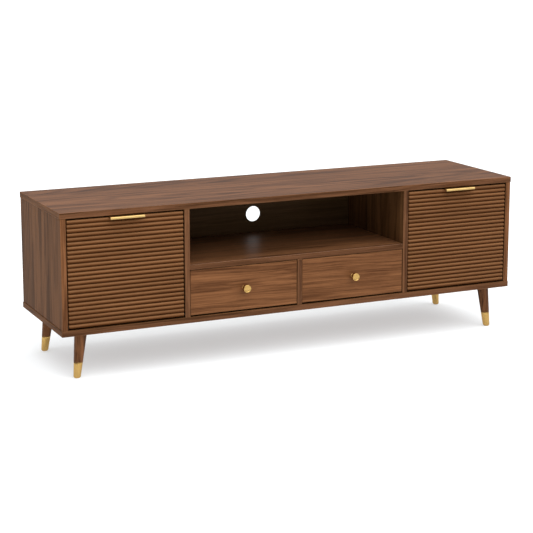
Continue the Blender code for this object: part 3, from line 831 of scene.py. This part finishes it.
def build_door(side):
    """A slab whose front, dark with painted shade, shows only in the grooves, its row of ribs and
    its brass pull.
    """
    node = "door_" + side
    low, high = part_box(node)
    pitch = (high.z - low.z) / RIB_COUNT
    floor_y = low.y + RIB_DEPTH
    box = [tuple(corner) for corner in (low, high)]
    rim = wood(f"rim_{node}", "X", WALNUT_INSIDE, wear_and_highlight_box=box)
    back = wood(f"walnut_{node}", "X", WALNUT_SIDE, wear_and_highlight_box=box)
    # painted shade: the slab's front between the ribs is dark walnut
    groove = wood(f"walnut_grooves_{side}", "X", WALNUT_GROOVE_PAINTED_SHADE)
    # the ribs carry painted shade on their lower halves
    rib_face = wood(f"walnut_ribs_{side}", "X", WALNUT_RIB, bands=1.6, streaks=1.5,
                    grooves=True)

    slab = faced_box(node + "_board", (low.x, floor_y, low.z), high, rim,
                     ((groove, (AHEAD,)), (back, (BEHIND,))))
    round_edges(slab, 0.0008)
    stand_for(slab, node)

    bm = rib_mesh(low.x, high.x, floor_y, low.z + pitch / 2)
    ribs = mesh_object(node + "_ribs", bm, rib_face)
    repeated(ribs, RIB_COUNT, (0.0, 0.0, pitch), rib_face)
    ribs.data.shade_smooth()
    ribs.data.set_sharp_from_angle(angle=math.radians(50))
    stand_for(ribs, node)
    build_pull(side)


PULL_SHEET = 0.0018
PULL_BEND = 0.0030
PULL_SCREW_SHARE = 0.34     # of the pull's length, from its middle to each screw
PULL_SCREW_INSET = 0.0085   # from the back of the flange


def build_pull(side):
    """Bent brass tab: flange on the door's top edge, eased bend, lip turned down."""
    node = "door_pull_" + side
    low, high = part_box(node)
    sheet, bend = PULL_SHEET, PULL_BEND
    front, top = low.y, high.z
    outline = [(high.y, top - sheet), (high.y, top)]
    outline += arc((front + bend, top - bend), bend, 90, 180, steps=8)
    outline += [(front, low.z + 0.0006)]
    outline += arc((front + sheet / 2, low.z + sheet / 2), sheet / 2, 180, 360, steps=8)
    outline += [(front + sheet, top - bend)]
    outline += arc((front + bend, top - bend), bend - sheet, 180, 90, steps=6)
    tab = swept(node + "_tab", outline, low.x, high.x, brass_brushed)
    round_edges(tab, 0.0004, segments=2, angle=60)
    stand_for(tab, node)
    spread = (high.x - low.x) * PULL_SCREW_SHARE
    middle = (low.x + high.x) / 2
    depth = high.y - PULL_SCREW_INSET
    places = [(middle + offset, depth, high.z) for offset in (-spread, spread)]
    screws(node + "_screws", places, UP, node, brass_brushed, 0.0028, 0.0006)


# ---------------------------------------------------------------- drawers

KNOB_R = 0.0120
KNOB_NECK_R = 0.0058
KNOB_HEAD = 0.0125


def knob_profile(length):
    """Turned knob from its dished face down to its base."""
    radius, neck, head = KNOB_R, KNOB_NECK_R, KNOB_HEAD
    points = [(0, length - 0.0012), (radius - 0.0042, length - 0.0011),
              (radius - 0.0030, length - 0.0007), (radius - 0.0024, length - 0.0001),
              (radius - 0.0019, length)]
    points += arc((radius - 0.0014, length - 0.0014), 0.0014, 80, 0, steps=6)
    points += arc((radius - 0.0012, length - head + 0.0012), 0.0012, 0, -90, steps=6)
    points += arc((neck + 0.0016, length - head - 0.0016), 0.0016, 90, 180, steps=6)
    points += arc((neck + 0.0012, 0.0015), 0.0012, 180, 270, steps=4)
    return points + [(neck + 0.0012, 0.0003), (0, 0.0003)]


def build_drawer(side):
    """Veneered front, turned knob, birch ply box and the members of its two slides."""
    node = "drawer_front_" + side
    box = [tuple(corner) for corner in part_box(node)]
    face = wood("walnut_" + node, "X", WALNUT_FRONT, lines=0.14, slope=-1.5, wear_and_highlight_box=box)
    rim = wood("rim_" + node, "X", WALNUT_INSIDE, wear_and_highlight_box=box)
    board(node, rim, ((face, (AHEAD,)),))

    knob_node = "drawer_knob_" + side
    low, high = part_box(knob_node)
    front_low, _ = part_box(node)
    length = front_low.y - low.y
    knob = lathe(knob_node + "_turned", knob_profile(length), brass_knob)
    centre = Vector(((low.x + high.x) / 2, front_low.y, (low.z + high.z) / 2))
    knob.data.transform(Matrix.Translation(centre) @ Matrix.Rotation(math.radians(90), 4, "X"))
    stand_for(knob, knob_node)

    ply = wood(f"birch_ply_{side}", "Y", BIRCH, bands=1.0, streaks=0.8, pores=0.15)
    cross = wood(f"birch_cross_{side}", "X", BIRCH, bands=1.0, streaks=0.8, pores=0.15)
    for place in ("inner", "outer"):
        board(f"drawer_side_{place}_{side}", ply, ((PLY_EDGE, (UP, BEHIND)),), 0.0008)
    board("drawer_back_" + side, cross, ((PLY_EDGE_CROSS, (UP,)),), 0.0008)
    board("drawer_bottom_" + side, DRAWER_LINING, edge=0.0003)
    for place in ("inner", "outer"):
        for kind in ("fixed", "moving"):
            refined(f"slide_{kind}_{place}_{side}", steel_rolled, 0.0002)


def ply_edge(name, across):
    """Edge of plywood: thin light and dark plies across the board's thickness."""
    material, tree, shader = new_material(name)
    scale = [6.0, 6.0, 6.0]
    scale["XYZ".index(across)] = 900.0
    vector = object_vector(tree, scale=tuple(scale))
    layers = noise(tree, vector, detail=1.0).outputs["Fac"]
    colour = colour_mix(tree, ramp(tree, layers, 0.42, 0.58), (0.30, 0.19, 0.10),
                        (0.62, 0.46, 0.29))
    tree.links.new(colour, shader.inputs["Base Color"])
    rough = math_node(tree, "MULTIPLY_ADD", layers, 0.2)
    rough.node.inputs[2].default_value = 0.45
    tree.links.new(rough, shader.inputs["Roughness"])
    add_bump(tree, shader, layers, 0.3, 0.0002)
    return material


# ---------------------------------------------------------------- hidden fittings

POLE_SETBACK = 0.008        # the catch's pole plates stop this far from its ends
POLE_PITCH = 0.0052
BRACKET_SCREW_INSET = 0.0085
BRACKET_SCREW_DEPTH = 0.0020
BRACKET_SCREW_RISE = 0.0045
STRIKE_SCREW_UP = 0.0035


def build_fittings(side, sign):
    """Hinge pins, damped strut, magnetic catch and their screws, on one side."""
    for node in (f"door_pin_inner_{side}", f"door_pin_outer_{side}"):
        refined(node, steel_blackened)
    for node in (f"strut_wall_stud_{side}", f"strut_door_bracket_{side}",
                 f"catch_strike_{side}"):
        refined(node, steel_zinc)
    refined(f"strut_cylinder_{side}", STRUT_PAINT)
    refined(f"strut_rod_{side}", steel_polished, 0.0)
    catch = f"magnetic_catch_{side}"
    refined(catch, PLASTIC, 0.0008)
    low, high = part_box(catch)
    middle = (low + high) / 2
    # two steel pole plates on the catch's face, towards the door
    bm = box_bmesh((low.x + POLE_SETBACK, low.y - 0.0007, middle.z - 0.0040),
                   (high.x - POLE_SETBACK, low.y + 0.0006, middle.z - 0.0026))
    poles = mesh_object(catch + "_poles", bm, steel_zinc)
    repeated(poles, 2, (0.0, 0.0, POLE_PITCH), steel_zinc)
    round_edges(poles, 0.0002, segments=2)
    go_with(poles, catch)
    foot_low, foot_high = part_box(f"strut_door_bracket_{side}")
    across = (foot_low.x if sign > 0 else foot_high.x) + sign * BRACKET_SCREW_INSET
    height = (foot_low.z + foot_high.z) / 2
    places = [(across, foot_low.y + BRACKET_SCREW_DEPTH, height + rise)
              for rise in (-BRACKET_SCREW_RISE, BRACKET_SCREW_RISE)]
    screws(f"strut_bracket_screws_{side}", places, BEHIND, f"strut_door_bracket_{side}",
           steel_zinc, 0.0024, 0.0008)
    strike_low, strike_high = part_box(f"catch_strike_{side}")
    strike_x = (strike_low.x + strike_high.x) / 2
    place = (strike_x, strike_high.y, strike_low.z + STRIKE_SCREW_UP)
    screws(f"strike_screw_{side}", [place], BEHIND, f"catch_strike_{side}", steel_zinc,
           0.0022, 0.0004)


DRAWER_LINING = wood("drawer_lining", "X", LINING, bands=0.8, lines=0.1, streaks=0.8,
                     pores=0.1)
PLY_EDGE = ply_edge("ply_edge", "X")
PLY_EDGE_CROSS = ply_edge("ply_edge_cross", "Y")
PLASTIC = plastic_material()
STRUT_PAINT = metal("strut_paint", (0.10, 0.10, 0.11), (0.05, 0.05, 0.05), 0.35,
                    (700.0, 700.0, 700.0), strength=0.06)

build_carcass()
build_back_panel()
build_legs()
for side_name, side_sign in SIDES:
    build_door(side_name)
    build_drawer(side_name)
    build_fittings(side_name, side_sign)


# ---------------------------------------------------------------- floor, light, camera

FLOOR_HALF_WIDTH = 60.0
FLOOR_GLOW = 0.45
HORIZON_BACK = (0.16, 0.16, 0.17)
HORIZON_FRONT = (0.62, 0.62, 0.62)
ZENITH = (1.15, 1.15, 1.15)
KEY_AZIMUTH, KEY_ELEVATION = 15, 62
KEY_STRENGTH, KEY_SPREAD = 2.6, 80
CAMERA_PLACE = (-2.0476, -4.3439, 1.3156)
CAMERA_DOWN, CAMERA_TURN = 10.703, -24.971
CAMERA_LENS, CAMERA_SENSOR = 104.73, 36.0
CAMERA_SHIFT = -0.1


def build_floor():
    """A plain pale floor that glows a little, so that its lit part comes out white."""
    bm = bmesh.new()
    bmesh.ops.create_grid(bm, x_segments=8, y_segments=8, size=FLOOR_HALF_WIDTH)
    material, tree, shader = new_material("pale_floor")
    speckle = noise(tree, object_vector(tree, scale=(3.0, 3.0, 3.0))).outputs["Fac"]
    colour = colour_mix(tree, speckle, (0.556, 0.572, 0.581), (0.570, 0.586, 0.595))
    tree.links.new(colour, shader.inputs["Base Color"])
    shader.inputs["Emission Color"].default_value = (0.985, 1.0, 1.01, 1.0)
    shader.inputs["Emission Strength"].default_value = FLOOR_GLOW
    shader.inputs["Roughness"].default_value = 0.9
    shader.inputs["Specular IOR Level"].default_value = 0.0
    mesh_object("studio_floor", bm, material)


def build_world():
    """A dome brightest overhead and dimmest low at the back left; seen directly, it is white."""
    world = bpy.data.worlds.new("studio")
    bpy.context.scene.world = world
    world.use_nodes = True
    tree = world.node_tree
    background = tree.nodes["Background"]
    coordinates = add_node(tree, "ShaderNodeTexCoord")
    split = add_node(tree, "ShaderNodeSeparateXYZ")
    tree.links.new(coordinates.outputs["Generated"], split.inputs[0])
    across = math_node(tree, "MULTIPLY", split.outputs["X"], 0.35)
    toward = math_node(tree, "SUBTRACT", across, split.outputs["Y"])
    front = ramp(tree, toward, -0.6, 0.9)
    horizon = colour_mix(tree, front, HORIZON_BACK, HORIZON_FRONT)
    height = ramp(tree, split.outputs["Z"], 0.05, 0.85)
    colour = colour_mix(tree, height, horizon, ZENITH)
    path = add_node(tree, "ShaderNodeLightPath")
    seen = colour_mix(tree, path.outputs["Is Camera Ray"], colour, (1.0, 1.0, 1.0))
    tree.links.new(seen, background.inputs["Color"])


def soft_sun(name, azimuth, elevation, strength, spread):
    """Even light from a direction; azimuth 0 comes from the front, 90 from the right."""
    light = bpy.data.lights.new(name, "SUN")
    light.energy = strength
    light.angle = math.radians(spread)
    obj = link_object(name, light)
    a, e = math.radians(azimuth), math.radians(elevation)
    source = Vector((math.sin(a) * math.cos(e), -math.cos(a) * math.cos(e), math.sin(e)))
    obj.rotation_euler = source.to_track_quat("Z", "Y").to_euler()
    obj.location = source * 4


def build_camera():
    camera = bpy.data.cameras.new("camera")
    camera.lens = CAMERA_LENS
    camera.sensor_width = CAMERA_SENSOR
    camera.shift_y = CAMERA_SHIFT
    obj = link_object("camera", camera)
    obj.location = CAMERA_PLACE
    obj.rotation_euler = (math.radians(90 - CAMERA_DOWN), 0.0, math.radians(CAMERA_TURN))
    bpy.context.scene.camera = obj


build_floor()
build_world()
soft_sun("key", KEY_AZIMUTH, KEY_ELEVATION, KEY_STRENGTH, KEY_SPREAD)
build_camera()
bpy.context.scene.view_settings.view_transform = "Standard"
